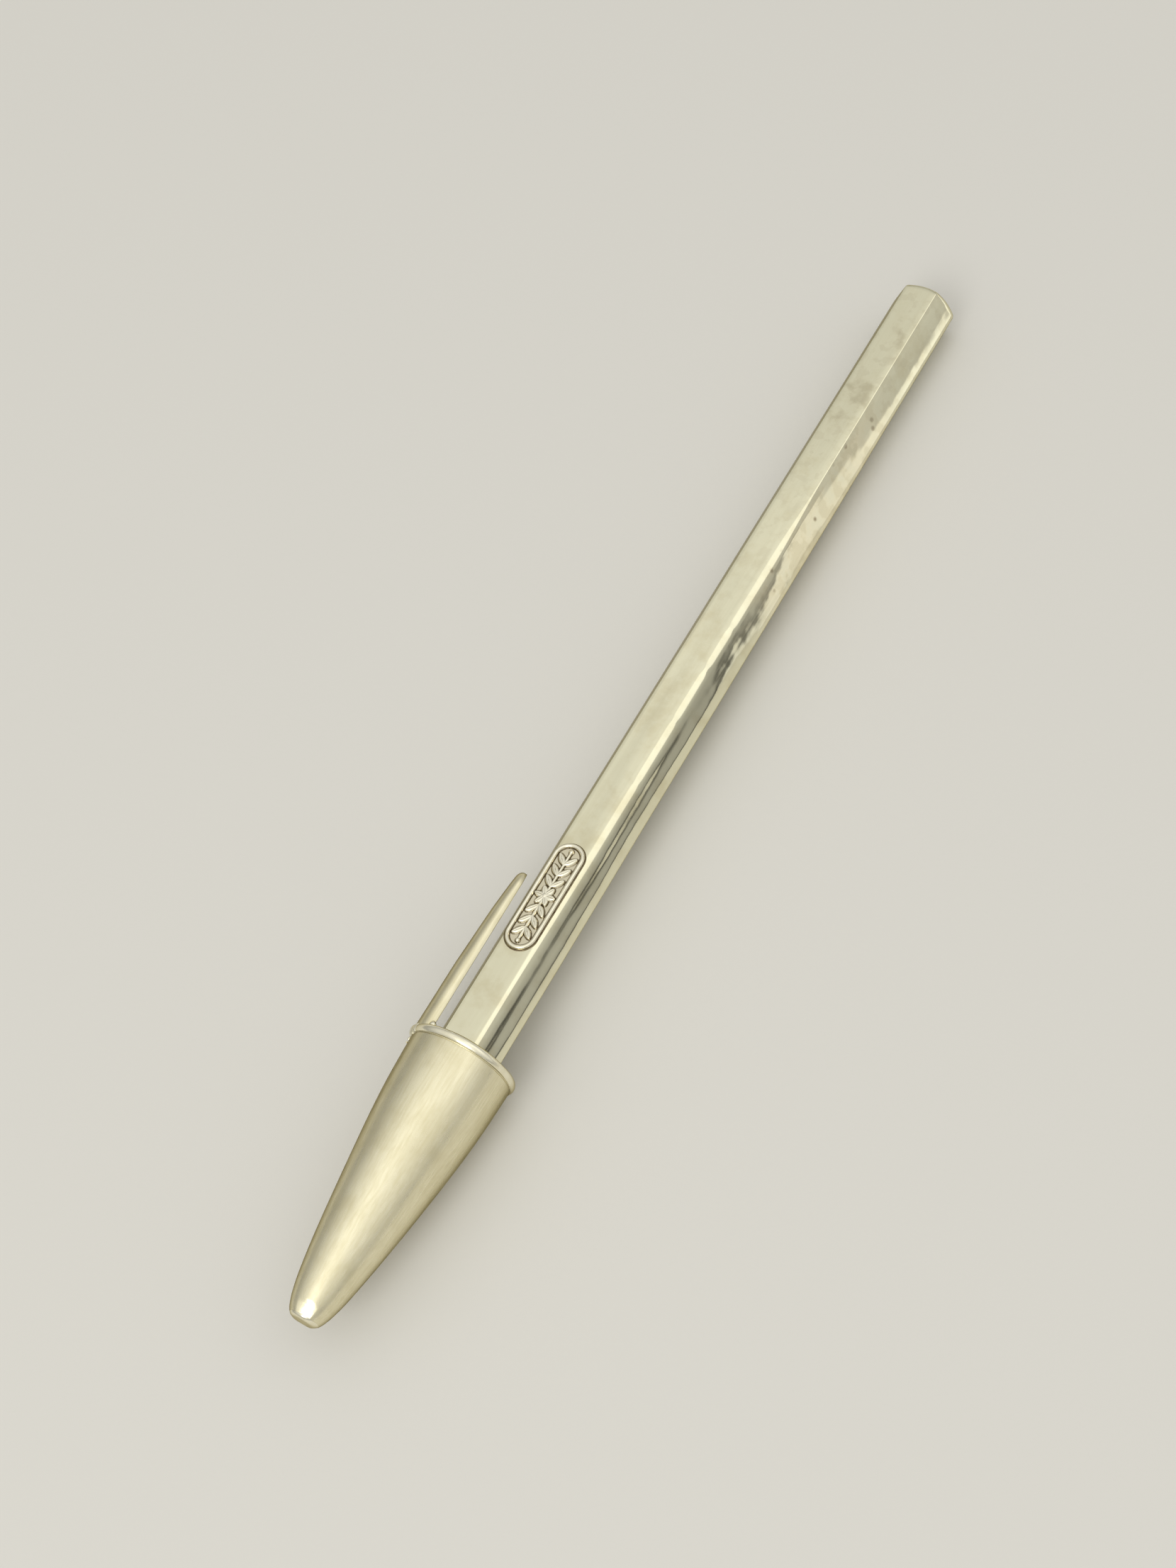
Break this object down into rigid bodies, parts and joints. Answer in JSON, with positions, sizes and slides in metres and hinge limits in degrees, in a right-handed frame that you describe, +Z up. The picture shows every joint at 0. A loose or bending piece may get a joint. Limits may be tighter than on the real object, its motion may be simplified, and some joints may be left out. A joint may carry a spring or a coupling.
{
  "type": "ballpoint pen",
  "caption": "Hexagonal metal ballpoint pen with a pull-off bullet-shaped cap and side clip, a small relief badge, and an ink insert that draws out of the barrel.",
  "frame": {"origin": "bottom of the cap's rim bead, at the middle of the pen's length", "axes": "+X along the pen from the cap's nose to the closed rear end, +Z up out of the face with the badge, and the clip is on the +Y side"},
  "size_m": [0.15, 0.013, 0.013],
  "materials": {
    "satin_silver": "satin, brushed lengthwise",
    "polished_silver": "hand polished, slightly wavy",
    "cast_silver": "cast, darkened in the hollows",
    "brass": "turned",
    "nickel_silver": "turned",
    "tungsten_carbide": "ground",
    "ivory_plastic": "moulded",
    "black_plastic": "moulded",
    "clear_plastic": "extruded, milky",
    "black_ink": "wet"
  },
  "bodies": {
    "barrel": {"barrel_tube": "polished_silver", "rear_plate": "polished_silver", "front_bush": "brass", "badge": "cast_silver"},
    "insert": {"point_holder": "black_plastic", "point_socket": "nickel_silver", "ink_tube": "clear_plastic", "ink_column": "black_ink"},
    "ball": {"writing_ball": "tungsten_carbide"},
    "liner": {"cap_liner": "ivory_plastic"},
    "cap": {"cap_shell": "satin_silver", "rim_bead": "polished_silver", "nose_button": "polished_silver", "clip": "satin_silver"}
  },
  "joints": [
    {"name": "insert_draw", "type": "slide", "parent": "barrel", "child": "insert", "axis": [-1, 0, 0], "range_m": [0, 0.125]},
    {"name": "ball_roll", "type": "hinge", "parent": "insert", "child": "ball", "pos_m": [-0.06945, 0, 0.00648], "axis": [0, 1, 0], "continuous": true},
    {"name": "cap_pull", "type": "slide", "parent": "insert", "child": "liner", "axis": [-1, 0, 0], "range_m": [0, 0.045]},
    {"name": "cap_turn", "type": "hinge", "parent": "liner", "child": "cap", "pos_m": [-0.0474, 0, 0.00648], "axis": [1, 0, 0], "continuous": true}
  ]
}
